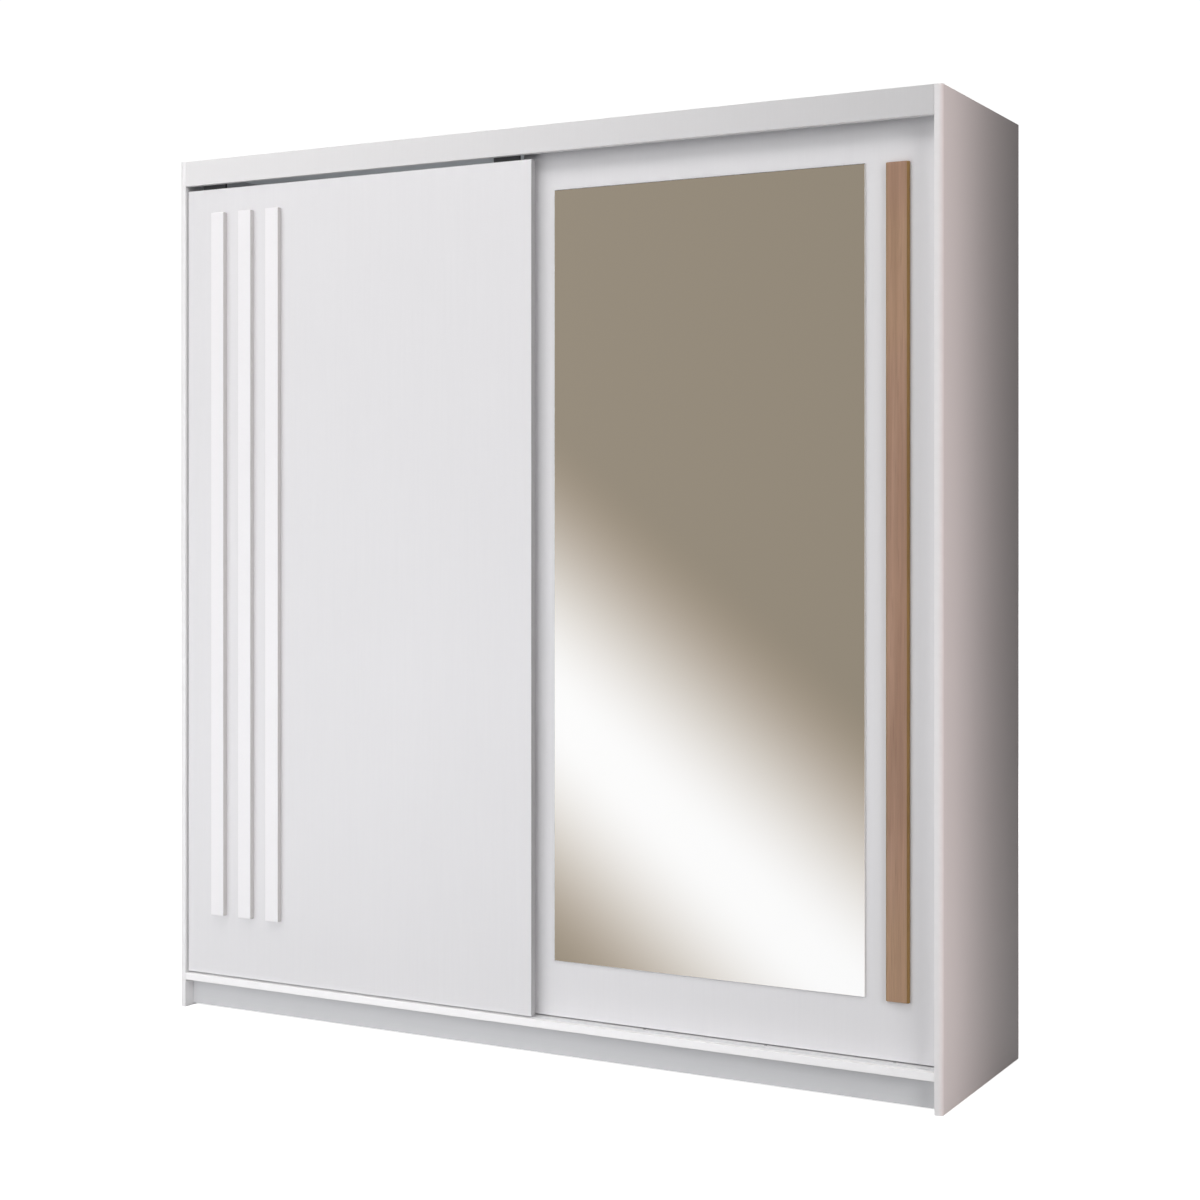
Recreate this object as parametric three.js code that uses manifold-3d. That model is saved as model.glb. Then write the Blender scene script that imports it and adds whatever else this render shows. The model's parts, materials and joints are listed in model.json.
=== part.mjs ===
// Two-door sliding wardrobe: a board carcass on a plinth, a partition with shelves on one side and
// a hanging space on the other, and two doors that pass each other on rollers in a twin bottom track.
// Millimetres, +X to the right, +Y to the back, +Z up. The origin is on the floor, under the middle.
import * as THREE from 'three';
import { mergeVertices } from 'three/addons/utils/BufferGeometryUtils.js';
import Module from 'manifold-3d';

const wasm = await Module();
wasm.setup();

// ---- Driving dimensions -------------------------------------------------------------------------

const WIDTH = 2030;
const HEIGHT = 2150;
const DEPTH = 530; // front edges of the side panels to the rear face of the back panels
const BOARD = 18;
const GAP = 0.25; // between pieces that are cut to fit each other

const BACK_SHEET = 3;
const BACK_INSET = 2; // back panels stop this far inside the side panels' outer faces
const BACK_TOP_DROP = 4;
const BACK_OVERLAP = 2; // and reach this far below the floor panel
const JOINER = { flange: 1, web: 2, width: 24 };

const SIDE_NOSE_RADIUS = 9; // rounded outer front corner of each side panel
const FASCIA = { height: 63, thickness: 16 };
const FLOOR_PANEL_TOP = 88;
const PLINTH = { recess: 30, lift: 5 };

const DOOR = { width: 1014, thickness: 18, setback: 8, pitch: 32, bottom: 91, sideGap: 2.5 };
const OUTER_DOOR_TOP = 2075;
const INNER_DOOR_TOP = 2100; // runs up behind the fascia

const BATTEN = { count: 3, width: 40, thickness: 14, left: -910, pitch: 85, bottom: 244, top: 2013 };
const MIRROR = { left: 64, right: 830, bottom: 220, top: 2003, thickness: 4 };
const WOOD_STRIP = { left: 878, right: 930, bottom: 219, top: 2000, thickness: 10, chamfer: 4 };

const POCKET = { length: 70, height: 30, depth: 11, inset: 75 }; // routed in the doors' rear corners
const WHEEL = { radius: 14, width: 5, chamfer: 0.75 };
const AXLE = { radius: 2, headRadius: 3.5, head: 1, chamfer: 0.5 };
const AXLE_CLEARANCE = 0.1;
const WHEEL_SLOT = { width: 6, ends: 2, above: 1.5 }; // cut in the roller housing around the wheel
const TRACK_LANE = 12.5; // door front to the middle of its bottom channel
const BOTTOM_TRACK = { front: 12, back: 61, flange: 1, wall: 1.25, channel: 7 };
const TRACK_GROOVE = { width: 10, depth: 8 }; // under each channel, in the floor panel
const TOP_TRACK = { lane: 15.5, channel: 9, wall: 2, web: 2.5, height: 26 };
const GUIDE_FIN = { width: 7.5, headroom: 1.5 };
const STOP = { start: 930, length: 18, width: 5.5, top: 90.25 };
const BUFFER = { radius: 5, thickness: 2, chamfer: 0.5, low: 420, high: 1780 };

const INTERIOR_SETBACK = 66; // carcass front to the partition's front edge, clear of the inner door
const SHELF_SETBACK = 76;
const SHELF_BACK_GAP = 1.5;
const SHELF_COUNT = 4;
const SHOE_SHELF_UNDERSIDE = 400;
const HAT_SHELF_UNDERSIDE = 1800;
const RAIL = { radius: 12.5, wall: 1.25, drop: 55 };
const FLANGE = { radius: 22, plate: 3, cupRadius: 16, height: 14 };
const HANGER = { width: 20, plate: 3, plateHalf: 22, stemHalf: 3.5, ringRadius: 17 };

// ---- Derived planes -----------------------------------------------------------------------------

const BATTEN_PROUD = BATTEN.thickness - DOOR.setback;
const FRONT = BATTEN_PROUD - (BATTEN_PROUD + DEPTH + JOINER.flange) / 2;
const BACK = FRONT + DEPTH;
const CARCASS_BACK = BACK - BACK_SHEET;
const OUTER = WIDTH / 2;
const INNER = OUTER - BOARD;
const TOP_PANEL_UNDERSIDE = HEIGHT - BOARD;
const PARTITION_HALF = BOARD / 2;
const INTERIOR_FRONT = FRONT + INTERIOR_SETBACK;
const SHELF_FRONT = FRONT + SHELF_SETBACK;
const SHELF_BACK = CARCASS_BACK - SHELF_BACK_GAP;
const PARTITION_BACK = CARCASS_BACK - JOINER.flange - 2 * GAP;
const CHANNEL_FLOOR = FLOOR_PANEL_TOP - TRACK_GROOVE.depth + BOTTOM_TRACK.wall;
const AXLE_HEIGHT = CHANNEL_FLOOR + WHEEL.radius + GAP / 2;
const RAIL_HEIGHT = HAT_SHELF_UNDERSIDE - RAIL.drop;
const RAIL_DEPTH = (SHELF_FRONT + CARCASS_BACK) / 2;

// ---- Finishes -----------------------------------------------------------------------------------

const finish = (color, roughness, metalness = 0) =>
  new THREE.MeshStandardMaterial({ color, roughness, metalness });

const WHITE_BOARD = finish(0xe6e5e7, 0.45);
const DOOR_BOARD = finish(0xe3e4e8, 0.4);
const BATTEN_WHITE = finish(0xf5f3f5, 0.35);
const PLINTH_GREY = finish(0xc0c0c2, 0.5);
const WOOD = finish(0xa07f6b, 0.5);
const MIRROR_BRONZE = finish(0x938a78, 0.05, 1);
const HARDBOARD = finish(0xdcdad6, 0.6);
const TRACK_ALUMINIUM = finish(0xd4d6d8, 0.35, 0.8);
const TRACK_PLASTIC = finish(0xe9e9ea, 0.4);
const CHROME = finish(0xd8dadc, 0.12, 1);
const STEEL = finish(0xb4b6b8, 0.3, 1);
const WHITE_PLASTIC = finish(0xf0f0ee, 0.4);
const GREY_PLASTIC = finish(0x4a4b4d, 0.5);
const RUBBER = finish(0x8d8d8f, 0.8);

// ---- Making pieces ------------------------------------------------------------------------------

const wardrobe = new THREE.Group();

const toSolid = (geometry) => {
  const bare = geometry.clone();
  bare.deleteAttribute('normal');
  bare.deleteAttribute('uv');
  const merged = mergeVertices(bare);
  return new wasm.Manifold(new wasm.Mesh({
    numProp: 3,
    vertProperties: merged.attributes.position.array,
    triVerts: Uint32Array.from(merged.index.array),
  }));
};

const toGeometry = (solid) => {
  const mesh = solid.getMesh();
  const geometry = new THREE.BufferGeometry();
  geometry.setAttribute('position', new THREE.BufferAttribute(mesh.vertProperties, 3));
  geometry.setIndex(new THREE.BufferAttribute(mesh.triVerts, 1));
  return geometry;
};

const cutAway = (geometry, cutters) => {
  const solid = cutters.reduce((left, cutter) => left.subtract(toSolid(cutter)), toSolid(geometry));
  return toGeometry(solid);
};

const addPiece = (name, geometry, material, [x, y, z] = [0, 0, 0]) => {
  const mesh = new THREE.Mesh(geometry, material);
  mesh.name = name;
  mesh.position.set(x, y, z);
  wardrobe.add(mesh);
};

const size = ([low, high]) => high - low;
const middle = ([low, high]) => (low + high) / 2;

// A box between two limits on each axis.
const boxBetween = (x, y, z) =>
  new THREE.BoxGeometry(size(x), size(y), size(z)).translate(middle(x), middle(y), middle(z));

const addBoard = (name, material, x, y, z) => {
  const geometry = new THREE.BoxGeometry(size(x), size(y), size(z));
  addPiece(name, geometry, material, [middle(x), middle(y), middle(z)]);
};

const shapeFrom = (points) => new THREE.Shape(points.map(([u, v]) => new THREE.Vector2(u, v)));

// An outline drawn in (Y, Z) and run along X.
const runAlongX = (shape, [start, end], curveSegments = 24) => {
  const options = { depth: end - start, bevelEnabled: false, curveSegments };
  const geometry = new THREE.ExtrudeGeometry(shape, options);
  const turn = new THREE.Matrix4().makeBasis(
    new THREE.Vector3(0, 1, 0),
    new THREE.Vector3(0, 0, 1),
    new THREE.Vector3(1, 0, 0),
  );
  return geometry.applyMatrix4(turn).translate(start, 0, 0);
};

// A turned piece: the profile is (radius, distance along the axis), and the axis becomes X or Y.
const turned = (profile, axis, segments) => {
  const points = profile.map(([radius, along]) => new THREE.Vector2(radius, along));
  const geometry = new THREE.LatheGeometry(points, segments);
  return axis === 'x' ? geometry.rotateZ(-Math.PI / 2) : geometry;
};

// ---- Carcass ------------------------------------------------------------------------------------

// The side panel's plan: square at the back and inside, rounded at the outer front corner.
const sidePanelPlan = (outward) => {
  const inner = outward * INNER;
  const outer = outward * OUTER;
  const noseX = outward * (OUTER - SIDE_NOSE_RADIUS);
  const plan = new THREE.Shape();
  plan.moveTo(inner, CARCASS_BACK);
  plan.lineTo(inner, FRONT);
  plan.lineTo(noseX, FRONT);
  const end = outward > 0 ? 0 : -Math.PI;
  plan.absarc(noseX, FRONT + SIDE_NOSE_RADIUS, SIDE_NOSE_RADIUS, -Math.PI / 2, end, outward < 0);
  plan.lineTo(outer, CARCASS_BACK);
  return plan;
};

const buildSidePanels = () => {
  for (const [side, outward] of [['left', -1], ['right', 1]]) {
    const options = { depth: HEIGHT, bevelEnabled: false, curveSegments: 10 };
    addPiece(`side_panel_${side}`, new THREE.ExtrudeGeometry(sidePanelPlan(outward), options), WHITE_BOARD);
  }
};

const laneMiddle = (door, offset) => FRONT + DOOR.setback + door * DOOR.pitch + offset;

// The floor panel's section has one square groove under each door for the bottom track.
const buildFloorPanel = () => {
  const underside = FLOOR_PANEL_TOP - BOARD;
  const grooveFloor = FLOOR_PANEL_TOP - TRACK_GROOVE.depth;
  const outline = [[FRONT, underside], [FRONT, FLOOR_PANEL_TOP]];
  for (const door of [0, 1]) {
    const lane = laneMiddle(door, TRACK_LANE);
    const half = TRACK_GROOVE.width / 2;
    outline.push([lane - half, FLOOR_PANEL_TOP], [lane - half, grooveFloor]);
    outline.push([lane + half, grooveFloor], [lane + half, FLOOR_PANEL_TOP]);
  }
  outline.push([CARCASS_BACK, FLOOR_PANEL_TOP], [CARCASS_BACK, underside]);
  addPiece('floor_panel', runAlongX(shapeFrom(outline), [-INNER, INNER]), WHITE_BOARD);
};

const buildPlinth = () => {
  const across = [-INNER, INNER];
  const height = [PLINTH.lift, FLOOR_PANEL_TOP - BOARD];
  const front = FRONT + PLINTH.recess;
  const rear = CARCASS_BACK - PLINTH.recess;
  addBoard('plinth_front', PLINTH_GREY, across, [front, front + BOARD], height);
  addBoard('plinth_rear', PLINTH_GREY, across, [rear - BOARD, rear], height);
  const thickness = [-PARTITION_HALF, PARTITION_HALF];
  const between = [front + BOARD, rear - BOARD];
  addBoard('plinth_brace', WHITE_BOARD, thickness, between, [0, FLOOR_PANEL_TOP - BOARD]);
};

const buildBack = () => {
  const height = [FLOOR_PANEL_TOP - BOARD - BACK_OVERLAP, HEIGHT - BACK_TOP_DROP];
  const inner = JOINER.web / 2 + GAP;
  const outer = OUTER - BACK_INSET;
  addBoard('back_panel_left', HARDBOARD, [-outer, -inner], [CARCASS_BACK, BACK], height);
  addBoard('back_panel_right', HARDBOARD, [inner, outer], [CARCASS_BACK, BACK], height);

  // An H section: a web between the two panels and a flange on each face of them.
  const halfWeb = JOINER.web / 2;
  const halfFlange = JOINER.width / 2;
  const frontFlange = [CARCASS_BACK - GAP - JOINER.flange, CARCASS_BACK - GAP];
  const rearFlange = [BACK + GAP, BACK + JOINER.flange];
  const section = shapeFrom([
    [-halfFlange, frontFlange[0]], [halfFlange, frontFlange[0]], [halfFlange, frontFlange[1]],
    [halfWeb, frontFlange[1]], [halfWeb, rearFlange[0]], [halfFlange, rearFlange[0]],
    [halfFlange, rearFlange[1]], [-halfFlange, rearFlange[1]], [-halfFlange, rearFlange[0]],
    [-halfWeb, rearFlange[0]], [-halfWeb, frontFlange[1]], [-halfFlange, frontFlange[1]],
  ]);
  const length = TOP_PANEL_UNDERSIDE - FLOOR_PANEL_TOP;
  const joiner = new THREE.ExtrudeGeometry(section, { depth: length - 2 * GAP, bevelEnabled: false });
  addPiece('back_joining_strip', joiner, WHITE_PLASTIC, [0, 0, FLOOR_PANEL_TOP + GAP]);
};

const buildCarcass = () => {
  buildSidePanels();
  buildFloorPanel();
  const across = [-INNER, INNER];
  const fasciaBack = FRONT + FASCIA.thickness;
  addBoard('top_panel', WHITE_BOARD, across, [fasciaBack, CARCASS_BACK], [TOP_PANEL_UNDERSIDE, HEIGHT]);
  addBoard('top_fascia', WHITE_BOARD, across, [FRONT, fasciaBack], [HEIGHT - FASCIA.height, HEIGHT]);
  const thickness = [-PARTITION_HALF, PARTITION_HALF];
  const height = [FLOOR_PANEL_TOP, TOP_PANEL_UNDERSIDE];
  addBoard('centre_partition', WHITE_BOARD, thickness, [INTERIOR_FRONT, PARTITION_BACK], height);
  buildPlinth();
  buildBack();
};

// ---- Shelves and hanging rail -------------------------------------------------------------------

const LEFT_BAY = [-INNER, -PARTITION_HALF];
const RIGHT_BAY = [PARTITION_HALF, INNER];

const addShelf = (name, bay, underside) => {
  addBoard(name, WHITE_BOARD, bay, [SHELF_FRONT, SHELF_BACK], [underside, underside + BOARD]);
};

const buildShelves = () => {
  const spacing = (TOP_PANEL_UNDERSIDE - FLOOR_PANEL_TOP - SHELF_COUNT * BOARD) / (SHELF_COUNT + 1);
  for (let i = 0; i < SHELF_COUNT; i += 1) {
    const underside = FLOOR_PANEL_TOP + (i + 1) * spacing + i * BOARD;
    addShelf(`shelf_left_${i + 1}`, LEFT_BAY, Math.round(underside));
  }
  addShelf('shoe_shelf', RIGHT_BAY, SHOE_SHELF_UNDERSIDE);
  addShelf('hat_shelf', RIGHT_BAY, HAT_SHELF_UNDERSIDE);
};

const buildRail = () => {
  const inset = FLANGE.plate + GAP;
  const tube = new THREE.Shape();
  tube.absarc(RAIL_DEPTH, RAIL_HEIGHT, RAIL.radius, 0, 2 * Math.PI);
  const bore = new THREE.Path();
  bore.absarc(RAIL_DEPTH, RAIL_HEIGHT, RAIL.radius - RAIL.wall, 0, 2 * Math.PI);
  tube.holes.push(bore);
  addPiece('hanging_rail', runAlongX(tube, [RIGHT_BAY[0] + inset, RIGHT_BAY[1] - inset]), CHROME);

  // A plate with a cup that the rail's end sits in.
  const cupBore = RAIL.radius + 2 * GAP;
  const profile = [
    [0, 0], [FLANGE.radius, 0], [FLANGE.radius, FLANGE.plate], [FLANGE.cupRadius, FLANGE.plate],
    [FLANGE.cupRadius, FLANGE.height], [cupBore, FLANGE.height], [cupBore, FLANGE.plate], [0, FLANGE.plate],
  ];
  const facing = turned(profile, 'x', 32);
  const facingBack = facing.clone().rotateZ(Math.PI);
  addPiece('rail_flange_left', facing, CHROME, [RIGHT_BAY[0], RAIL_DEPTH, RAIL_HEIGHT]);
  addPiece('rail_flange_right', facingBack, CHROME, [RIGHT_BAY[1], RAIL_DEPTH, RAIL_HEIGHT]);

  // The middle bracket: a plate under the hat shelf, a stem, and a ring that the rail passes through.
  const plateTop = RAIL.drop;
  const plateUnderside = plateTop - HANGER.plate;
  const ringMeetsStem = Math.acos(HANGER.stemHalf / HANGER.ringRadius);
  const bracket = new THREE.Shape();
  bracket.moveTo(-HANGER.plateHalf, plateTop);
  bracket.lineTo(-HANGER.plateHalf, plateUnderside);
  bracket.lineTo(-HANGER.stemHalf, plateUnderside);
  bracket.absarc(0, 0, HANGER.ringRadius, Math.PI - ringMeetsStem, 2 * Math.PI + ringMeetsStem);
  bracket.lineTo(HANGER.stemHalf, plateUnderside);
  bracket.lineTo(HANGER.plateHalf, plateUnderside);
  bracket.lineTo(HANGER.plateHalf, plateTop);
  const eye = new THREE.Path();
  eye.absarc(0, 0, RAIL.radius + 2 * GAP, 0, 2 * Math.PI);
  bracket.holes.push(eye);
  const half = HANGER.width / 2;
  const hung = [middle(RIGHT_BAY), RAIL_DEPTH, RAIL_HEIGHT];
  addPiece('rail_centre_bracket', runAlongX(bracket, [-half, half]), CHROME, hung);
};

// ---- Tracks -------------------------------------------------------------------------------------

// Twin U-channels joined by a thin flange that lies on the floor panel.
const buildBottomTrack = () => {
  const top = FLOOR_PANEL_TOP + BOTTOM_TRACK.flange;
  const front = FRONT + BOTTOM_TRACK.front;
  const back = FRONT + BOTTOM_TRACK.back;
  const inside = BOTTOM_TRACK.channel / 2;
  const outside = inside + BOTTOM_TRACK.wall;
  const lanes = [laneMiddle(0, TRACK_LANE), laneMiddle(1, TRACK_LANE)];
  const upper = [[front, top]];
  const lower = [[front, FLOOR_PANEL_TOP]];
  for (const lane of lanes) {
    upper.push([lane - inside, top], [lane - inside, CHANNEL_FLOOR]);
    upper.push([lane + inside, CHANNEL_FLOOR], [lane + inside, top]);
    const bed = CHANNEL_FLOOR - BOTTOM_TRACK.wall + GAP;
    lower.push([lane - outside, FLOOR_PANEL_TOP], [lane - outside, bed]);
    lower.push([lane + outside, bed], [lane + outside, FLOOR_PANEL_TOP]);
  }
  upper.push([back, top]);
  lower.push([back, FLOOR_PANEL_TOP]);
  const section = shapeFrom([...upper, ...lower.reverse()]);
  addPiece('bottom_track', runAlongX(section, [-INNER + GAP, INNER - GAP]), TRACK_PLASTIC);
};

// Two channels, open downwards, under one web.
const buildTopTrack = () => {
  const mouth = TOP_PANEL_UNDERSIDE - TOP_TRACK.height;
  const ceiling = TOP_PANEL_UNDERSIDE - TOP_TRACK.web;
  const half = TOP_TRACK.channel / 2;
  const outline = [];
  for (const door of [0, 1]) {
    const lane = laneMiddle(door, TOP_TRACK.lane);
    outline.push([lane - half - TOP_TRACK.wall, door === 0 ? TOP_PANEL_UNDERSIDE : ceiling]);
    outline.push([lane - half - TOP_TRACK.wall, mouth], [lane - half, mouth]);
    outline.push([lane - half, ceiling], [lane + half, ceiling]);
    outline.push([lane + half, mouth], [lane + half + TOP_TRACK.wall, mouth]);
    outline.push([lane + half + TOP_TRACK.wall, door === 0 ? ceiling : TOP_PANEL_UNDERSIDE]);
  }
  addPiece('top_track', runAlongX(shapeFrom(outline), [-INNER + GAP, INNER - GAP]), TRACK_ALUMINIUM);
};

const buildStopsAndBuffers = () => {
  const reach = [STOP.start, STOP.start + STOP.length];
  const height = [CHANNEL_FLOOR + GAP, STOP.top];
  const lanes = [laneMiddle(0, TRACK_LANE), laneMiddle(1, TRACK_LANE)];
  const across = (lane) => [lane - STOP.width / 2, lane + STOP.width / 2];
  addBoard('track_stop_outer', WHITE_PLASTIC, reach, across(lanes[0]), height);
  addBoard('track_stop_inner', WHITE_PLASTIC, [-reach[1], -reach[0]], across(lanes[1]), height);

  const profile = [
    [0, 0], [BUFFER.radius, 0], [BUFFER.radius, BUFFER.thickness - BUFFER.chamfer],
    [BUFFER.radius - BUFFER.chamfer, BUFFER.thickness], [0, BUFFER.thickness],
  ];
  for (const [side, door, x, turn] of [['left', 0, -INNER, 0], ['right', 1, INNER, Math.PI]]) {
    for (const [level, z] of [['low', BUFFER.low], ['high', BUFFER.high]]) {
      const geometry = turned(profile, 'x', 24).rotateZ(turn);
      addPiece(`buffer_${side}_${level}`, geometry, RUBBER, [x, laneMiddle(door, DOOR.thickness / 2), z]);
    }
  }
};

// ---- Doors --------------------------------------------------------------------------------------

// The outer door runs in lane 0 and rests at the left; the inner door runs in lane 1.
const DOOR_REACH = INNER - DOOR.sideGap;
const DOORS = [
  { side: 'left', lane: 0, x: [-DOOR_REACH, -DOOR_REACH + DOOR.width], top: OUTER_DOOR_TOP },
  { side: 'right', lane: 1, x: [DOOR_REACH - DOOR.width, DOOR_REACH], top: INNER_DOOR_TOP },
];

const doorFront = (door) => laneMiddle(door.lane, 0);
const doorBack = (door) => doorFront(door) + DOOR.thickness;
const pocketMiddles = (door) => [door.x[0] + POCKET.inset, door.x[1] - POCKET.inset];

const around = (centre, length) => [centre - length / 2, centre + length / 2];

const addDoorPanel = (door) => {
  const panel = boxBetween(door.x, [doorFront(door), doorBack(door)], [DOOR.bottom, door.top]);
  const depth = [doorBack(door) - POCKET.depth, doorBack(door) + 1];
  const pockets = pocketMiddles(door).flatMap((x) => [
    boxBetween(around(x, POCKET.length), depth, [DOOR.bottom - 1, DOOR.bottom + POCKET.height]),
    boxBetween(around(x, POCKET.length), depth, [door.top - POCKET.height, door.top + 1]),
  ]);
  addPiece(`door_panel_${door.side}`, cutAway(panel, pockets), DOOR_BOARD);
};

// A block with a slot for the wheel, bored across for the axle.
const addRoller = (door, x, place) => {
  const y = [doorBack(door) - POCKET.depth + GAP, doorBack(door) - GAP];
  const bottom = DOOR.bottom + GAP;
  const top = DOOR.bottom + POCKET.height - GAP;
  const block = boxBetween(around(x, POCKET.length - 2 * GAP), y, [bottom, top]);
  const slotTop = AXLE_HEIGHT + WHEEL.radius + WHEEL_SLOT.above;
  const slotReach = around(x, 2 * (WHEEL.radius + WHEEL_SLOT.ends));
  const slotSides = around(middle(y), WHEEL_SLOT.width);
  const slot = boxBetween(slotReach, slotSides, [bottom - 1, slotTop]);
  const boreRadius = AXLE.radius + AXLE_CLEARANCE;
  const bore = new THREE.CylinderGeometry(boreRadius, boreRadius, size(y) + 2, 24);
  bore.translate(x, middle(y), AXLE_HEIGHT);
  addPiece(`roller_housing_${door.side}_${place}`, cutAway(block, [slot, bore]), GREY_PLASTIC);

  const half = WHEEL.width / 2;
  const rim = WHEEL.radius - WHEEL.chamfer;
  const wheel = [
    [boreRadius, -half], [rim, -half], [WHEEL.radius, -half + WHEEL.chamfer],
    [WHEEL.radius, half - WHEEL.chamfer], [rim, half], [boreRadius, half], [boreRadius, -half],
  ];
  const centre = [x, middle(y), AXLE_HEIGHT];
  addPiece(`roller_wheel_${door.side}_${place}`, turned(wheel, 'y', 40), WHITE_PLASTIC, centre);

  const reach = size(y) / 2;
  const axle = [
    [0, -reach], [AXLE.radius - AXLE.chamfer, -reach], [AXLE.radius, -reach + AXLE.chamfer],
    [AXLE.radius, reach + GAP], [AXLE.headRadius, reach + GAP], [AXLE.headRadius, reach + AXLE.head],
    [0, reach + AXLE.head],
  ];
  addPiece(`roller_axle_${door.side}_${place}`, turned(axle, 'y', 24), STEEL, centre);
};

// A block in the door's top corner with a fin that runs in the top track.
const addTopGuide = (door, x, place) => {
  const back = doorBack(door) - GAP;
  const front = doorBack(door) - POCKET.depth + GAP;
  const fin = around(laneMiddle(door.lane, TOP_TRACK.lane), GUIDE_FIN.width);
  const finTop = TOP_PANEL_UNDERSIDE - TOP_TRACK.web - GUIDE_FIN.headroom;
  const shoulder = door.top - GAP;
  const base = door.top - POCKET.height + GAP;
  const outline = shapeFrom([
    [front, base], [back, base], [back, shoulder], [fin[1], shoulder],
    [fin[1], finTop], [fin[0], finTop], [fin[0], shoulder], [front, shoulder],
  ]);
  const length = around(x, POCKET.length - 2 * GAP);
  addPiece(`top_guide_${door.side}_${place}`, runAlongX(outline, length), GREY_PLASTIC);
};

const buildDoor = (door) => {
  addDoorPanel(door);
  for (const [i, x] of pocketMiddles(door).entries()) {
    const place = i === 0 ? 'a' : 'b';
    addRoller(door, x, place);
    addTopGuide(door, x, place);
  }
};

const buildDoorTrim = () => {
  const [leftDoor, rightDoor] = DOORS.map(doorFront);
  const battenDepth = [leftDoor - BATTEN.thickness, leftDoor];
  for (let i = 0; i < BATTEN.count; i += 1) {
    const start = BATTEN.left + i * BATTEN.pitch;
    const x = [start, start + BATTEN.width];
    addBoard(`batten_${i + 1}`, BATTEN_WHITE, x, battenDepth, [BATTEN.bottom, BATTEN.top]);
  }
  const mirrorDepth = [rightDoor - MIRROR.thickness, rightDoor];
  addBoard('mirror', MIRROR_BRONZE, [MIRROR.left, MIRROR.right], mirrorDepth, [MIRROR.bottom, MIRROR.top]);

  // The wood strip's plan has both front corners cut off.
  const { left, right, thickness, chamfer } = WOOD_STRIP;
  const face = rightDoor - thickness;
  const plan = shapeFrom([
    [left, rightDoor], [left, face + chamfer], [left + chamfer, face],
    [right - chamfer, face], [right, face + chamfer], [right, rightDoor],
  ]);
  const depth = WOOD_STRIP.top - WOOD_STRIP.bottom;
  const strip = new THREE.ExtrudeGeometry(plan, { depth, bevelEnabled: false });
  addPiece('wood_strip', strip, WOOD, [0, 0, WOOD_STRIP.bottom]);
};

buildCarcass();
buildShelves();
buildRail();
buildBottomTrack();
buildTopTrack();
buildStopsAndBuffers();
DOORS.forEach(buildDoor);
buildDoorTrim();

export default wardrobe;
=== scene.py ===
# The looks of a two-door sliding wardrobe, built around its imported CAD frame. Metres, +Z up.
import json
import math

import bmesh
import bpy
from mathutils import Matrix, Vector

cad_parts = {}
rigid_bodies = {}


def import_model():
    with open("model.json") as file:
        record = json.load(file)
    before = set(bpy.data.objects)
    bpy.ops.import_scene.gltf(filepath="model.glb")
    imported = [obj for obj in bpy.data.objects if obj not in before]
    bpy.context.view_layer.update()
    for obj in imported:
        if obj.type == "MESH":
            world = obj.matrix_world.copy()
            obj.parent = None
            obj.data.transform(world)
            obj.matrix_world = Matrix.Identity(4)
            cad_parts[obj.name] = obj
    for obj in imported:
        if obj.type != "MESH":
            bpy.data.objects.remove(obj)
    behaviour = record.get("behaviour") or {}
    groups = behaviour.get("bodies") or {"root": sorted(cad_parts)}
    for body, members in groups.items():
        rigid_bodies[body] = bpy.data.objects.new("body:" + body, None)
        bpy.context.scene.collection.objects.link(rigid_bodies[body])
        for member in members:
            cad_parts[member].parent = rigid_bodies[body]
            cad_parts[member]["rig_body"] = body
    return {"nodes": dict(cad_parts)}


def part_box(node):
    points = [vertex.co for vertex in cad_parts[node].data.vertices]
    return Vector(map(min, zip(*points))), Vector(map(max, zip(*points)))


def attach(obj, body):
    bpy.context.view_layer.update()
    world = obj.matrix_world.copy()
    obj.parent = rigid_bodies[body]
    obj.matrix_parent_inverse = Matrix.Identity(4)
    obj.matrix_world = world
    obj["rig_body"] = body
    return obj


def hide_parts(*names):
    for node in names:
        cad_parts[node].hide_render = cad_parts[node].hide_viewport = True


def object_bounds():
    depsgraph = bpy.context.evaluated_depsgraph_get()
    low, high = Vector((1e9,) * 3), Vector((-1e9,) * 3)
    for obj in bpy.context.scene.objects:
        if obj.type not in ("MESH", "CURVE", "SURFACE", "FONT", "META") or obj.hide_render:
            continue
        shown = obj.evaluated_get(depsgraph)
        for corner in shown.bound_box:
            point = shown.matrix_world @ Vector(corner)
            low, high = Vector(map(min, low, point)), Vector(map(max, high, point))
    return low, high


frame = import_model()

CAD_LOW, CAD_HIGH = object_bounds()
COLLECTION = bpy.context.scene.collection

# ---- Camera and studio --------------------------------------------------------------------------

EYE = (2.4512, -4.3836, 1.25)
HEADING = math.radians(28.6)
LENS = 62.13
SHIFT_Y = -0.0703

STAGE_SIZE = 60.0
BOUNCE_LEVEL = -0.002
CARD_X, CARD_Y, CARD_Z = 1.7, (-2.2, 3.5), (0.0, 4.0)
WALL_LEVEL = 0.40  # radiance of the room's walls, half way between its darker and lighter sides
WALL_SLOPE = -0.24  # added towards +X

# The pale band in the room that the mirror shows. Its places are directions: x over forward and z
# over forward, for a direction whose forward part points to -Y.
GLARE = {
    "slope": 0.78,  # fall of the band per unit of x over forward
    "top": -0.393,
    "crest_high": -0.551,
    "crest_low": -0.561,
    "bottom": -0.713,
    "near": -0.36,  # where the band fades out, on its right and its left
    "near_end": -0.25,
    "far": -0.68,
    "far_end": -0.85,
    "radiance": (1.13, 1.39, 1.94),
    "fall": (1.125, 1.23, 1.33),  # how fast red, green and blue fade from the crest
}

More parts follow.
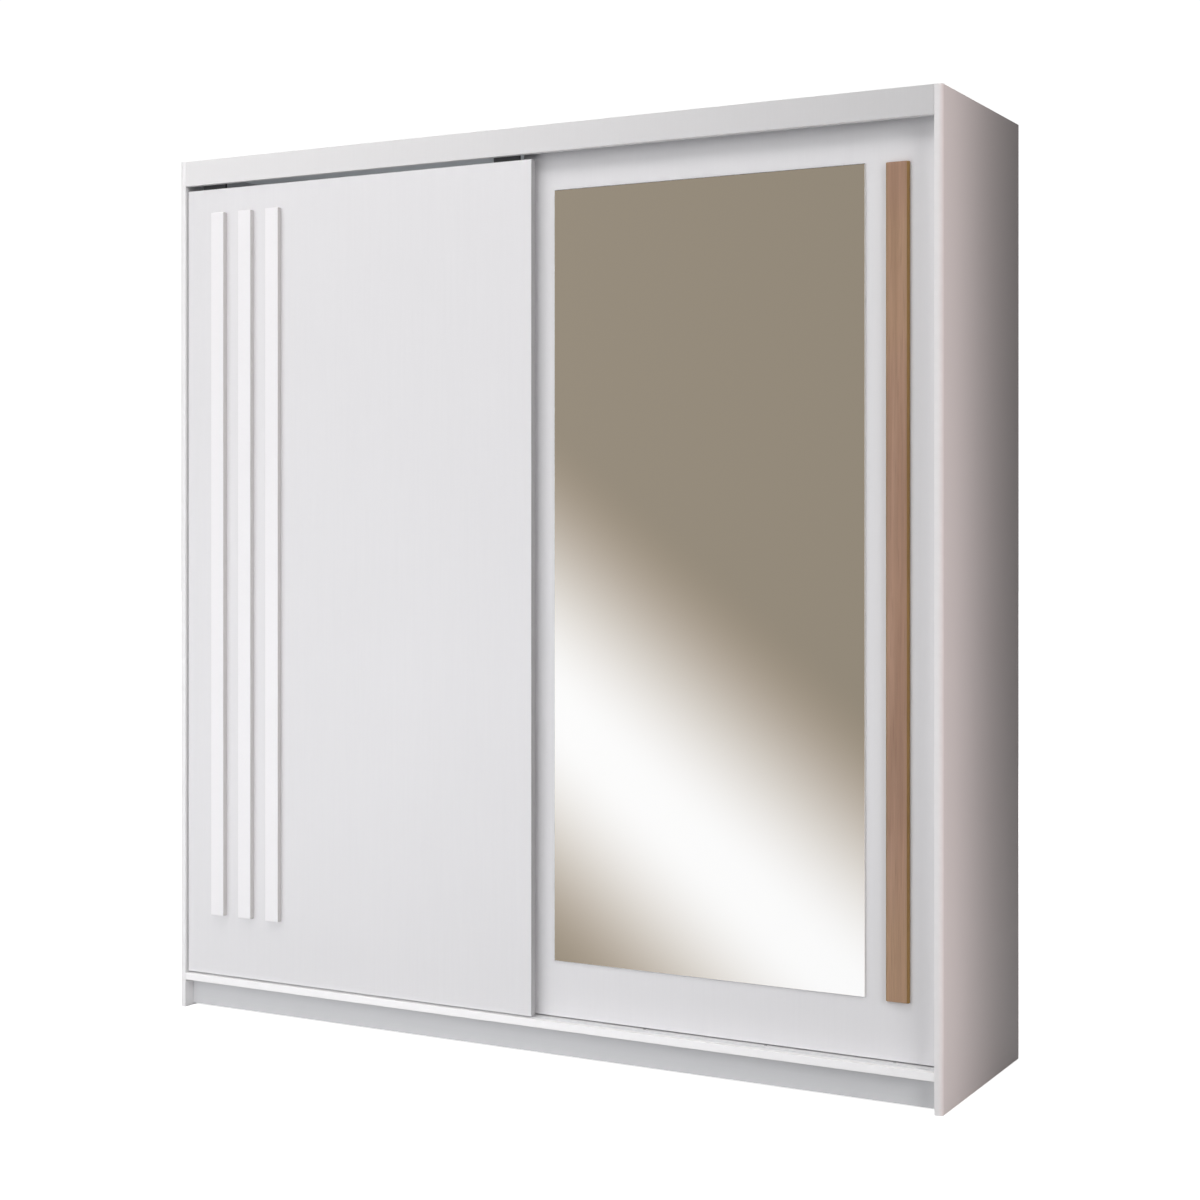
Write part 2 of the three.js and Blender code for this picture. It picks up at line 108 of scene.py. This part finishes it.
# Lights: place, target, size, power in watts and, where it isn't white, colour.
ROOM_LIGHTS = {
    "key": ((-2.1, -4.7, 2.9), (0, -0.2, 1.1), (4.0, 2.4), 16),
    "overhead": ((-0.8, -2.4, 4.6), (0, -0.2, 1.4), (3.4, 1.2), 64, (1.0, 0.985, 0.98)),
    "low_card": ((-0.5, -2.3, 0.15), (-0.1, -0.2, 1.2), (3.4, 1.0), 29.5, (0.965, 0.98, 1.0)),
    "rear_fill": ((-2.2, 4.5, 3.0), (-0.2, 0.2, 1.0), (3.0, 2.5), 120),
}
SIDE_X, SIDE_Y, SIDE_Z = CAD_HIGH.x + 0.4, CAD_LOW.y - 0.04, 1.8
LONE_LIGHTS = {
    "inside": ((-0.5, 0.0, 1.5), (-0.5, 0.0, 2.1), (0.9, 0.4), 1.3, (0.88, 0.95, 1.0)),
    "brow": ((-1.9, -2.2, 2.3), (-0.9, -0.25, 2.12), (0.6, 0.3), 7.5),
    "toe": ((0, -1.5, 0.4), (0, -0.26, 0.08), (2.6, 0.2), 3.2),
    "side": ((SIDE_X, SIDE_Y, SIDE_Z), (0, SIDE_Y, SIDE_Z), (0.1, 4.4), 7.3, (1.0, 0.865, 0.84)),
    "rim": ((-1.5, -4.0, 1.1), (1.0, -0.26, 1.1), (0.6, 2.5), 22),
    "cross": ((9.9, -5.4, 4.5), (0.0, -0.2, 1.1), (4.0, 5.0), 450),
}


def add_camera():
    data = bpy.data.cameras.new("camera")
    data.lens = LENS
    data.shift_y = SHIFT_Y
    data.clip_end = 2 * STAGE_SIZE
    camera = bpy.data.objects.new("camera", data)
    camera.location = EYE
    camera.rotation_euler = (math.radians(90), 0, HEADING)
    COLLECTION.objects.link(camera)
    bpy.context.scene.camera = camera


def add_area_light(name, place, target, size, power, colour=(1, 1, 1)):
    data = bpy.data.lights.new(name, "AREA")
    data.shape = "RECTANGLE"
    data.size, data.size_y = size
    data.energy = power
    data.color = colour
    light = bpy.data.objects.new(name, data)
    light.location = place
    light.rotation_euler = (Vector(target) - Vector(place)).to_track_quat("-Z", "Y").to_euler()
    light.visible_camera = False
    light.visible_glossy = False
    COLLECTION.objects.link(light)
    return light


def group_of(name, pieces):
    group = bpy.data.collections.new(name)
    for piece in pieces:
        group.objects.link(piece)
    return group


def add_lone_light(name, lit, blocking=None):
    """A light that reaches only some pieces; blocking are the ones that can shade them, if not all."""
    light = add_area_light(name, *LONE_LIGHTS[name])
    light.light_linking.receiver_collection = group_of(f"{name}_lit", lit)
    if blocking is not None:
        light.light_linking.blocker_collection = group_of(f"{name}_blocking", blocking)


def light_studio(pieces):
    """Lights for the whole room, and ones that each reach only some pieces: the top panel seen through
    the slot, the fascia, the floor panel's edge, the right side panel, and all that face across."""
    for name, light in ROOM_LIGHTS.items():
        add_area_light(name, *light)
    top, side = [pieces["top_panel"]], [pieces["side_panel_right"]]
    add_lone_light("inside", top, top)
    add_lone_light("brow", [pieces["top_fascia"]])
    add_lone_light("toe", [pieces["floor_panel"]])
    add_lone_light("side", side, side)
    add_lone_light("rim", side)
    missed = ("side_panel_right", "top_fascia")
    crossed = [piece for node, piece in pieces.items() if node not in missed]
    shading = [piece for node, piece in pieces.items() if not node.startswith("batten")]
    add_lone_light("cross", crossed, shading)


# ---- Node helpers -------------------------------------------------------------------------------


class Nodes:
    """Adds nodes to a tree and joins them up."""

    def __init__(self, tree):
        self.tree = tree

    def set(self, socket, value):
        if isinstance(value, bpy.types.NodeSocket):
            self.tree.links.new(value, socket)
        else:
            socket.default_value = value

    def add(self, kind, inputs=None, **properties):
        node = self.tree.nodes.new(kind)
        for name, value in properties.items():
            setattr(node, name, value)
        for socket, value in (inputs or {}).items():
            self.set(node.inputs[socket], value)
        return node

    def math(self, operation, a, b=0.0):
        return self.add("ShaderNodeMath", {0: a, 1: b}, operation=operation).outputs[0]

    def span(self, value, start, end, low, high, smooth=False):
        """value runs from start to end while the result runs from low to high, and stays there."""
        inputs = {"Value": value, "From Min": start, "From Max": end, "To Min": low, "To Max": high}
        kind = "SMOOTHSTEP" if smooth else "LINEAR"
        return self.add("ShaderNodeMapRange", inputs, interpolation_type=kind).outputs["Result"]

    def mix(self, factor, a, b, blend_type="MIX"):
        node = self.add("ShaderNodeMix", data_type="RGBA", blend_type=blend_type)
        for index, value in ((0, factor), (6, a), (7, b)):
            if isinstance(value, tuple):
                value = (*value, 1.0)
            self.set(node.inputs[index], value)
        return node.outputs[2]


class Finish(Nodes):
    """A Principled material. Its patterns are laid out in metres on the piece itself."""

    def __init__(self, name, **sockets):
        self.material = bpy.data.materials.new(name)
        self.material.use_nodes = True
        super().__init__(self.material.node_tree)
        self.shader = self.tree.nodes["Principled BSDF"]
        self.give(**sockets)

    def give(self, **sockets):
        for name, value in sockets.items():
            if isinstance(value, tuple):
                value = (*value, 1.0)
            self.set(self.shader.inputs[name.replace("_", " ").title().replace("Ior", "IOR")], value)

    def noise(self, scale, stretch=(1, 1, 1), detail=3.0, roughness=0.5, distortion=0.0):
        """Noise with about scale features to the metre, drawn out where stretch is small."""
        place = self.add("ShaderNodeTexCoord").outputs["Object"]
        mapped = self.add("ShaderNodeMapping", {"Vector": place, "Scale": stretch}).outputs[0]
        inputs = {
            "Vector": mapped, "Scale": scale, "Detail": detail,
            "Roughness": roughness, "Distortion": distortion,
        }
        return self.add("ShaderNodeTexNoise", inputs).outputs["Fac"]

    def edge(self):
        """1 on a piece's rounded edges and 0 on its faces."""
        return self.add("ShaderNodeAttribute", attribute_name="edge").outputs["Fac"]

    def facing(self, axis, sign=None):
        """1 on faces turned along an axis, either way or only towards sign."""
        normal = self.add("ShaderNodeNewGeometry").outputs["Normal"]
        share = self.add("ShaderNodeSeparateXYZ", {0: normal}).outputs["XYZ".index(axis)]
        turned = self.math("MULTIPLY", share, sign) if sign else self.math("ABSOLUTE", share)
        return self.span(turned, 0.3, 0.6, 0.0, 1.0)

    def toned(self, colour, *patterns):
        """colour made darker and lighter by patterns, each a value from 0 to 1 and its share."""
        for pattern, share in patterns:
            shade = self.span(pattern, 0.25, 0.75, 1 - share, 1 + share)
            colour = self.mix(1.0, colour, self.grey(shade), "MULTIPLY")
        return colour

    def grey(self, value):
        return self.add("ShaderNodeCombineColor", {0: value, 1: value, 2: value}).outputs[0]

    def bump(self, height, distance, strength=1.0):
        node = self.add("ShaderNodeBump", {"Height": height, "Distance": distance, "Strength": strength})
        self.give(Normal=node.outputs[0])
        return node


# ---- Studio -------------------------------------------------------------------------------------


def glare_band(nodes, x, y, z):
    """1 along the band's crest and 0 away from it, for a direction's parts."""
    forward = nodes.math("MAXIMUM", nodes.math("MULTIPLY", y, -1.0), 0.01)
    run = nodes.math("DIVIDE", x, forward)
    rise = nodes.math("DIVIDE", z, forward)
    across = nodes.math("ADD", rise, nodes.math("MULTIPLY", run, GLARE["slope"]))
    band = nodes.span(across, GLARE["top"], GLARE["crest_high"], 0.0, 1.0, smooth=True)
    edges = (
        nodes.span(across, GLARE["bottom"], GLARE["crest_low"], 0.0, 1.0, smooth=True),
        nodes.span(run, GLARE["near_end"], GLARE["near"], 0.0, 1.0, smooth=True),
        nodes.span(run, GLARE["far_end"], GLARE["far"], 0.0, 1.0, smooth=True),
        nodes.span(y, 0.0, -0.1, 0.0, 1.0),
    )
    for edge in edges:
        band = nodes.math("MULTIPLY", band, edge)
    return band


def build_world():
    """Plain walls that are a little lighter on the left, with one pale band low at the front left."""
    world = bpy.data.worlds.new("studio")
    world.use_nodes = True
    bpy.context.scene.world = world
    nodes = Nodes(world.node_tree)
    direction = nodes.add("ShaderNodeTexCoord").outputs["Generated"]
    x, y, z = nodes.add("ShaderNodeSeparateXYZ", {0: direction}).outputs
    level = nodes.span(x, -1.0, 1.0, WALL_LEVEL - WALL_SLOPE, WALL_LEVEL + WALL_SLOPE)
    grey = nodes.add("ShaderNodeCombineColor", {0: level, 1: level, 2: level})
    walls = world.node_tree.nodes["Background"]
    nodes.set(walls.inputs["Color"], grey.outputs[0])

    band = glare_band(nodes, x, y, z)
    channels = [
        nodes.math("MULTIPLY", nodes.math("POWER", band, fall), radiance)
        for fall, radiance in zip(GLARE["fall"], GLARE["radiance"])
    ]
    tint = nodes.add("ShaderNodeCombineColor", dict(enumerate(channels)))
    glow = nodes.add("ShaderNodeBackground", {"Color": tint.outputs[0]})
    both = nodes.add("ShaderNodeAddShader", {0: walls.outputs[0], 1: glow.outputs[0]})
    nodes.set(world.node_tree.nodes["World Output"].inputs["Surface"], both.outputs[0])


def glow_material(name, diffuse, glow):
    material = bpy.data.materials.new(name)
    material.use_nodes = True
    shader = material.node_tree.nodes["Principled BSDF"]
    shader.inputs["Base Color"].default_value = (diffuse, diffuse, diffuse, 1)
    shader.inputs["Roughness"].default_value = 1.0
    shader.inputs["Specular IOR Level"].default_value = 0.0
    shader.inputs["Emission Color"].default_value = (1, 1, 1, 1)
    shader.inputs["Emission Strength"].default_value = glow
    return material


def add_sheet(name, corners, material):
    mesh = bpy.data.meshes.new(name)
    mesh.from_pydata(corners, [], [(0, 1, 2, 3)])
    mesh.materials.append(material)
    plane = bpy.data.objects.new(name, mesh)
    COLLECTION.objects.link(plane)
    return plane


def add_backdrop(material):
    bm = bmesh.new()
    bmesh.ops.create_uvsphere(bm, u_segments=48, v_segments=24, radius=STAGE_SIZE / 2)
    mesh = bpy.data.meshes.new("backdrop")
    bm.to_mesh(mesh)
    bm.free()
    mesh.materials.append(material)
    backdrop = bpy.data.objects.new("backdrop", mesh)
    COLLECTION.objects.link(backdrop)
    return backdrop


def level_square(height):
    half = STAGE_SIZE / 2
    return [(-half, -half, height), (half, -half, height), (half, half, height), (-half, half, height)]


def upright(x, y, z):
    """A card's corners, facing along X."""
    return [(x, y[0], z[0]), (x, y[1], z[0]), (x, y[1], z[1]), (x, y[0], z[1])]


def build_stage():
    """A white floor and backdrop that only the camera sees, a floor that returns some light, and a black
    card beyond the right side."""
    floor = add_sheet("floor", level_square(0.0), glow_material("floor_white", 0.9, 0.9))
    backdrop = add_backdrop(glow_material("backdrop_white", 0.0, 1.05))
    for seen in (floor, backdrop):
        seen.visible_diffuse = False
        seen.visible_glossy = False
        seen.visible_transmission = False
        seen.visible_shadow = False
    bounce = add_sheet("floor_bounce", level_square(BOUNCE_LEVEL), glow_material("floor_grey", 0.45, 0.0))
    black = glow_material("card_black", 0.02, 0.0)
    card = add_sheet("black_card", upright(CARD_X, CARD_Y, CARD_Z), black)
    for unseen in (bounce, card):
        unseen.visible_camera = False
        unseen.visible_glossy = False


# ---- Finishes -----------------------------------------------------------------------------------

ALONG_X, ALONG_Z = (0.03, 1, 1), (1, 1, 0.03)


def melamine(name, colour, roughness=0.42, grain=ALONG_Z, edge_painted_light=1.0):
    """Melamine-faced board: a faint pressed grain, a fine pearl texture and a smoother edge band, whose
    colour is the face's times a given factor: painted light on the band above 1 and painted shade below 1."""
    finish = Finish(name, specular_ior_level=0.35)
    streaks = finish.noise(190, grain, detail=4)
    clouds = finish.noise(2.2, detail=2)
    pearl = finish.noise(620, detail=2)
    edge = finish.edge()
    face = finish.toned(colour, (streaks, 0.008), (clouds, 0.010), (pearl, 0.006))
    # The band's colour is the face's scaled by that factor: painted light where lighter, painted shade
    # where darker.
    band = tuple(min(1.0, c * edge_painted_light) for c in colour)
    band_painted_light_and_wear = finish.toned(band, (finish.noise(60, detail=4), 0.012))
    worn = finish.span(streaks, 0.3, 0.7, roughness - 0.05, roughness + 0.06)
    finish.give(
        base_color=finish.mix(edge, face, band_painted_light_and_wear),
        roughness=finish.math("SUBTRACT", worn, finish.math("MULTIPLY", edge, 0.08)),
    )
    height = finish.math("ADD", finish.math("MULTIPLY", streaks, 0.7), finish.math("MULTIPLY", pearl, 0.3))
    finish.bump(height, 0.00006, 0.5)
    return finish.material


def batten_foil():
    """Smooth white foil over a moulding, with a slight orange peel; its sides are painted darker as
    painted shade.
    """
    finish = Finish("batten_foil", specular_ior_level=0.45)
    peel = finish.noise(240, detail=2)
    # Faces turned along X get a darker grey than the front: painted shade on the batten's sides.
    shade = finish.mix(finish.facing("X"), (0.94, 0.925, 0.94), (0.64, 0.615, 0.61))
    finish.give(
        base_color=finish.toned(shade, (finish.noise(3), 0.008), (peel, 0.006)),
        roughness=finish.span(peel, 0.3, 0.7, 0.28, 0.36),
    )
    finish.bump(peel, 0.00008, 0.3)
    return finish.material


def walnut():
    """A wood strip with grain along its height; its cut-back sides are darker: partly the wood's own
    deeper tone, partly painted shade.
    """
    finish = Finish("walnut", specular_ior_level=0.3)
    grain = finish.noise(170, (1, 1, 0.02), detail=6, roughness=0.65, distortion=0.4)
    figure = finish.noise(26, (1, 1, 0.05), detail=3, distortion=0.8)
    patches = finish.noise(3.2, (1, 1, 0.6), detail=2)
    pores = finish.noise(900, (1, 1, 0.012), detail=2)
    mellow, deep = (0.452, 0.280, 0.196), (0.345, 0.200, 0.132)
    face = finish.mix(finish.span(figure, 0.35, 0.68, 0.0, 0.8, smooth=True), mellow, deep)
    face = finish.mix(finish.span(patches, 0.42, 0.62, 0.0, 0.6, smooth=True), face, (0.41, 0.262, 0.155))
    face = finish.toned(face, (grain, 0.13), (patches, 0.08))
    pore_mask = finish.span(pores, 0.60, 0.72, 0.0, 0.45)
    face = finish.mix(pore_mask, face, (0.17, 0.085, 0.055))
    # The sides facing along X are darker and more saturated: partly the wood's own deeper tone, partly
    # painted shade.
    side = finish.toned((0.32, 0.186, 0.066), (grain, 0.2), (patches, 0.15))
    finish.give(
        base_color=finish.mix(finish.facing("X"), face, side),
        roughness=finish.span(grain, 0.3, 0.7, 0.44, 0.58),
    )
    height = finish.math("SUBTRACT", grain, finish.math("MULTIPLY", pore_mask, 0.8))
    finish.bump(height, 0.00015, 0.6)
    return finish.material


def bronze_mirror():
    """Bronze-tinted silvered glass, with a pale glass edge whose upward faces are painted near black:
    painted shade.
    """
    finish = Finish("bronze_mirror")
    edge = finish.edge()
    # The edge is pale, except on faces turned up, which are painted near black: painted shade along the
    # mirror's top.
    edge_with_painted_top_shade = finish.mix(finish.facing("Z", 1.0), (0.86, 0.84, 0.82), (0.10, 0.09, 0.08))
    smudges = finish.noise(5, detail=5, roughness=0.6)
    finish.give(
        metallic=finish.math("SUBTRACT", 1.0, edge),
        base_color=finish.mix(edge, (0.595, 0.512, 0.396), edge_with_painted_top_shade),
        roughness=finish.math(
            "ADD", finish.span(smudges, 0.45, 0.8, 0.012, 0.05), finish.math("MULTIPLY", edge, 0.25)
        ),
    )
    return finish.material


def hardboard():
    """Thin fibreboard: white lacquer inside, raw pressed brown fibre on the rear face."""
    finish = Finish("hardboard", specular_ior_level=0.2)
    fibres = finish.noise(330, (1, 1, 0.5), detail=5, roughness=0.7, distortion=1.5)
    clouds = finish.noise(7, detail=3)
    rear = finish.facing("Y", 1.0)
    raw = finish.toned((0.42, 0.285, 0.175), (fibres, 0.16), (clouds, 0.07))
    lacquer = finish.toned((0.80, 0.79, 0.78), (fibres, 0.01), (clouds, 0.015))
    finish.give(
        base_color=finish.mix(rear, lacquer, raw),
        roughness=finish.span(rear, 0.0, 1.0, 0.45, 0.82),
    )
    finish.bump(fibres, 0.0002, 0.5)
    return finish.material


def aluminium():
    """Anodised extrusion with draw lines along X."""
    finish = Finish("aluminium", metallic=1.0, anisotropic=0.5)
    lines = finish.noise(1500, (0.004, 1, 1), detail=3)
    finish.give(
        base_color=finish.toned((0.78, 0.79, 0.80), (lines, 0.05)),
        roughness=finish.span(lines, 0.3, 0.7, 0.26, 0.40),
    )
    finish.bump(lines, 0.00003, 0.4)
    return finish.material


def bright_metal(name, colour, roughness):
    finish = Finish(name, metallic=1.0)
    polish = finish.noise(90, detail=4)
    finish.give(
        base_color=finish.toned(colour, (polish, 0.02)),
        roughness=finish.span(polish, 0.3, 0.8, roughness, roughness + 0.08),
    )
    finish.bump(finish.noise(400, (0.1, 1, 1)), 0.00002, 0.3)
    return finish.material


def plastic(name, colour, roughness, texture=0.00006):
    """Moulded or extruded plastic with a fine spark texture."""
    finish = Finish(name, specular_ior_level=0.45)
    spark = finish.noise(800, detail=2)
    finish.give(
        base_color=finish.toned(colour, (spark, 0.03), (finish.noise(30), 0.02)),
        roughness=finish.span(spark, 0.3, 0.7, roughness - 0.05, roughness + 0.07),
    )
    finish.bump(spark, texture, 0.5)
    return finish.material


FINISHES = {
    # The white boards' edges and narrow faces are lightened by 1.14: painted light.
    "white_board": melamine("white_melamine", (0.82, 0.81, 0.815), edge_painted_light=1.14),
    # The doors' edge bands are darkened to 0.58 of the face: painted shade.
    "door_board": melamine("door_melamine", (0.82, 0.81, 0.825), roughness=0.4, edge_painted_light=0.58),
    "batten_white": batten_foil(),
    "plinth_board": melamine("plinth_melamine", (0.765, 0.765, 0.78), grain=ALONG_X),
    "wood_strip": walnut(),
    "mirror": bronze_mirror(),
    "hardboard": hardboard(),
    "track_aluminium": aluminium(),
    "track_plastic": plastic("track_plastic", (0.86, 0.86, 0.87), 0.38),
    "chrome": bright_metal("chrome", (0.84, 0.85, 0.86), 0.06),
    "steel": bright_metal("steel", (0.62, 0.63, 0.64), 0.24),
    "white_plastic": plastic("white_plastic", (0.87, 0.87, 0.86), 0.4),
    "grey_plastic": plastic("grey_plastic", (0.075, 0.078, 0.08), 0.5, 0.0001),
    "rubber": plastic("rubber", (0.30, 0.30, 0.31), 0.8, 0.0001),
}

# ---- Making pieces ------------------------------------------------------------------------------

MERGE = 0.00001
FLAT_ANGLE = math.radians(0.5)
CORNER_ANGLE = math.radians(40)
BANDED = 0.0185  # faces no wider than a board is thick are edge-banded
SMOOTH_UP_TO = math.radians(50)
CHAMFER_SHARP = math.radians(30)  # for the mirror and the wood strip, whose edges stay crisp
EASE = {
    "white_board": 0.0008, "door_board": 0.001, "batten_white": 0.0012, "plinth_board": 0.0008,
    "wood_strip": 0.0006, "mirror": 0.0012, "track_plastic": 0.00035, "track_aluminium": 0.0003,
    "hardboard": 0.0003, "chrome": 0.0005, "steel": 0.0002, "white_plastic": 0.00025,
    "grey_plastic": 0.0004, "rubber": 0.0005,
}


def show(name, bm, slot, body, sharp=SMOOTH_UP_TO):
    """The finished mesh as a piece of the object."""
    mesh = bpy.data.meshes.new(name)
    for face in bm.faces:
        face.smooth = True
    bm.to_mesh(mesh)
    bm.free()
    mesh.set_sharp_from_angle(angle=sharp)
    mesh.materials.append(FINISHES[slot])
    piece = bpy.data.objects.new(name, mesh)
    COLLECTION.objects.link(piece)
    weighted = piece.modifiers.new("weighted_normals", "WEIGHTED_NORMAL")
    weighted.keep_sharp = True
    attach(piece, body)
    return piece


def width_of(face):
    """The face's second longest side, by its own box."""
    spans = [max(v.co[i] for v in face.verts) - min(v.co[i] for v in face.verts) for i in range(3)]
    return sorted(spans)[1]


def round_edges(bm, radius, segments):
    """Rounds every corner edge, and marks the new faces and the narrow ones as edge."""
    mark = bm.faces.layers.float.new("edge")
    for face in bm.faces:
        face[mark] = float(width_of(face) < BANDED)
    corners = [
        edge for edge in bm.edges
        if len(edge.link_faces) == 2 and edge.calc_face_angle() > CORNER_ANGLE
    ]
    made = bmesh.ops.bevel(
        bm, geom=corners, offset=radius, offset_type="OFFSET", segments=segments,
        profile=0.5, affect="EDGES", clamp_overlap=True,
    )
    for face in made["faces"]:
        face[mark] = 1.0


def ease(node):
    """Stands a copy with rounded edges in for a CAD node."""
    source = frame["nodes"][node]
    slot = source.data.materials[0].name
    bm = bmesh.new()
    bm.from_mesh(source.data)
    bmesh.ops.remove_doubles(bm, verts=bm.verts, dist=MERGE)
    bmesh.ops.dissolve_limit(bm, angle_limit=FLAT_ANGLE, verts=bm.verts, edges=bm.edges)
    round_edges(bm, EASE[slot], 1 if slot == "mirror" else 2)
    sharp = CHAMFER_SHARP if slot in ("mirror", "wood_strip") else SMOOTH_UP_TO
    piece = show(f"{node}_shell", bm, slot, source["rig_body"], sharp)
    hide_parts(node)
    return piece


def finish_pieces():
    return {node: ease(node) for node in sorted(frame["nodes"])}


# ---- Fittings -----------------------------------------------------------------------------------

# Turned forms, from the seat up: radius, height and how far four arms are sunk, each as a share of the
# form's radius.
SCREW = (
    (1.0, 0.0, 0.0), (1.0, 0.06, 0.0), (0.85, 0.22, 0.0),
    (0.62, 0.28, 0.0), (0.52, 0.29, 0.26), (0.2, 0.04, 0.02),
)
NAIL = ((1.0, 0.0, 0.0), (1.0, 0.12, 0.0), (0.7, 0.2, 0.0))
COVER = ((1.0, 0.0, 0.0), (1.0, 0.05, 0.0), (0.93, 0.09, 0.0), (0.5, 0.1, 0.0))
PIN = ((1.7, 0.0, 0.0), (1.7, 0.5, 0.0), (1.0, 0.62, 0.0), (1.0, 3.2, 0.0), (0.8, 3.5, 0.0))
ARMS = 4

TRACK_SCREW, RAIL_SCREW, DOOR_SCREW = 0.0034, 0.0024, 0.003  # radii
NAIL_RADIUS, PIN_RADIUS, COVER_RADIUS = 0.0018, 0.0025, 0.009
TRACK_PITCH, TRACK_MARGIN = 0.3, 0.1
NAIL_PITCH = 0.15
HALF_BOARD = 0.009
FLANGE_THICKNESS, FLANGE_SCREW_LIFT = 0.003, 0.019
BRACKET_SCREW_SHIFT = 0.016
PIN_FRONT, PIN_REAR = 0.04, 0.05  # from the shelf's edges
COVER_INSET, COVER_FRONT, COVER_REAR = 0.034, 0.06, 0.08
DOOR_SCREW_SHIFT, DOOR_SCREW_LIFT = 0.026, 0.015


def add_turned(bm, place, axis, radius, profile, segments=16):
    """Adds one closed turned form that stands on place and points along axis, with cross arms sunk in
    where the profile says so."""
    turn = Vector(axis).to_track_quat("Z", "Y").to_matrix()
    rings = []
    for share, height, sunk in profile:
        ring = []
        for i in range(segments):
            angle = 2 * math.pi * i / segments
            drop = sunk if i % (segments // ARMS) == 0 else 0.0
            local = Vector((share * math.cos(angle), share * math.sin(angle), height - drop)) * radius
            ring.append(bm.verts.new(Vector(place) + turn @ local))
        rings.append(ring)
    for lower, upper in zip(rings, rings[1:]):
        for i in range(segments):
            j = (i + 1) % segments
            bm.faces.new((lower[i], lower[j], upper[j], upper[i]))
    bm.faces.new(reversed(rings[0]))
    bm.faces.new(rings[-1])


def show_turned(name, slot, body, forms, radius, profile, segments=16):
    """A group of alike fittings: forms is a list of places and axes."""
    bm = bmesh.new()
    for place, axis in forms:
        add_turned(bm, place, axis, radius, profile, segments)
    return show(name, bm, slot, body)


def spread(start, end, pitch):
    """Evenly spaced values from start to end, about pitch apart."""
    count = max(1, round((end - start) / pitch))
    return [start + (end - start) * i / count for i in range(count + 1)]


def add_track_screws():
    low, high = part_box("bottom_track")
    y = (low.y + high.y) / 2
    places = spread(low.x + TRACK_MARGIN, high.x - TRACK_MARGIN, TRACK_PITCH)
    forms = [((x, y, high.z), (0, 0, 1)) for x in places]
    show_turned("track_screws", "steel", "carcass", forms, TRACK_SCREW, SCREW)


def add_rail_screws():
    rail_low, rail_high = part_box("hanging_rail")
    centre = (rail_low + rail_high) / 2
    forms = []
    for node, side in (("rail_flange_left", 1), ("rail_flange_right", -1)):
        low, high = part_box(node)
        wall = low.x if side > 0 else high.x
        for lift in (-FLANGE_SCREW_LIFT, FLANGE_SCREW_LIFT):
            place = (wall + side * FLANGE_THICKNESS, centre.y, centre.z + lift)
            forms.append((place, (side, 0, 0)))
    low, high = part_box("rail_centre_bracket")
    for shift in (-BRACKET_SCREW_SHIFT, BRACKET_SCREW_SHIFT):
        forms.append(((centre.x, centre.y + shift, high.z - FLANGE_THICKNESS), (0, 0, -1)))
    show_turned("rail_screws", "steel", "carcass", forms, RAIL_SCREW, SCREW)


def add_back_nails():
    forms = []
    rows = [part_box(node)[1].z - HALF_BOARD for node in ("floor_panel", "top_panel")]
    for side, node in ((-1, "back_panel_left"), (1, "back_panel_right")):
        low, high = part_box(node)
        edge = side * (CAD_HIGH.x - HALF_BOARD)
        for z in spread(rows[0] + NAIL_PITCH, rows[1] - NAIL_PITCH, NAIL_PITCH):
            forms.append(((edge, high.y, z), (0, 1, 0)))
        for z in rows:
            for x in spread(low.x + HALF_BOARD, high.x - HALF_BOARD, NAIL_PITCH):
                forms.append(((x, high.y, z), (0, 1, 0)))
    show_turned("back_nails", "steel", "carcass", forms, NAIL_RADIUS, NAIL, 12)


def add_shelf_pins():
    nodes = [f"shelf_left_{i}" for i in range(1, 5)] + ["shoe_shelf", "hat_shelf"]
    forms = []
    for node in nodes:
        low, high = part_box(node)
        for y in (low.y + PIN_FRONT, high.y - PIN_REAR):
            for x, side in ((low.x, 1), (high.x, -1)):
                forms.append(((x, y, low.z - PIN_RADIUS * PIN[0][0]), (side, 0, 0)))
    show_turned("shelf_pins", "steel", "carcass", forms, PIN_RADIUS, PIN, 12)


def add_cam_covers():
    """Caps over the cam fittings that hold the floor and top panels to the sides and the partition."""
    floor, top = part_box("floor_panel"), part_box("top_panel")
    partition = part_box("centre_partition")
    columns = (
        floor[0].x + COVER_INSET, partition[0].x - COVER_INSET,
        partition[1].x + COVER_INSET, floor[1].x - COVER_INSET,
    )
    forms = []
    for x in columns:
        for y in (partition[0].y + COVER_FRONT, partition[1].y - COVER_REAR):
            forms.append(((x, y, floor[1].z), (0, 0, 1)))
            forms.append(((x, y, top[0].z), (0, 0, -1)))
    show_turned("cam_covers", "white_plastic", "carcass", forms, COVER_RADIUS, COVER, 24)


def add_door_screws(side):
    forms = []
    for place in "ab":
        for kind in ("roller_housing", "top_guide"):
            low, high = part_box(f"{kind}_{side}_{place}")
            middle = (low.x + high.x) / 2
            z = low.z + DOOR_SCREW_LIFT
            for shift in (-DOOR_SCREW_SHIFT, DOOR_SCREW_SHIFT):
                forms.append(((middle + shift, high.y, z), (0, 1, 0)))
    show_turned(f"screws_{side}_door", "steel", f"{side}_door", forms, DOOR_SCREW, SCREW)


def add_fittings():
    add_track_screws()
    add_rail_screws()
    add_back_nails()
    add_shelf_pins()
    add_cam_covers()
    for side in ("left", "right"):
        add_door_screws(side)


# ---- Building the scene -------------------------------------------------------------------------


add_camera()
build_world()
build_stage()
pieces = finish_pieces()
add_fittings()
light_studio(pieces)
bpy.context.scene.view_settings.view_transform = "Standard"
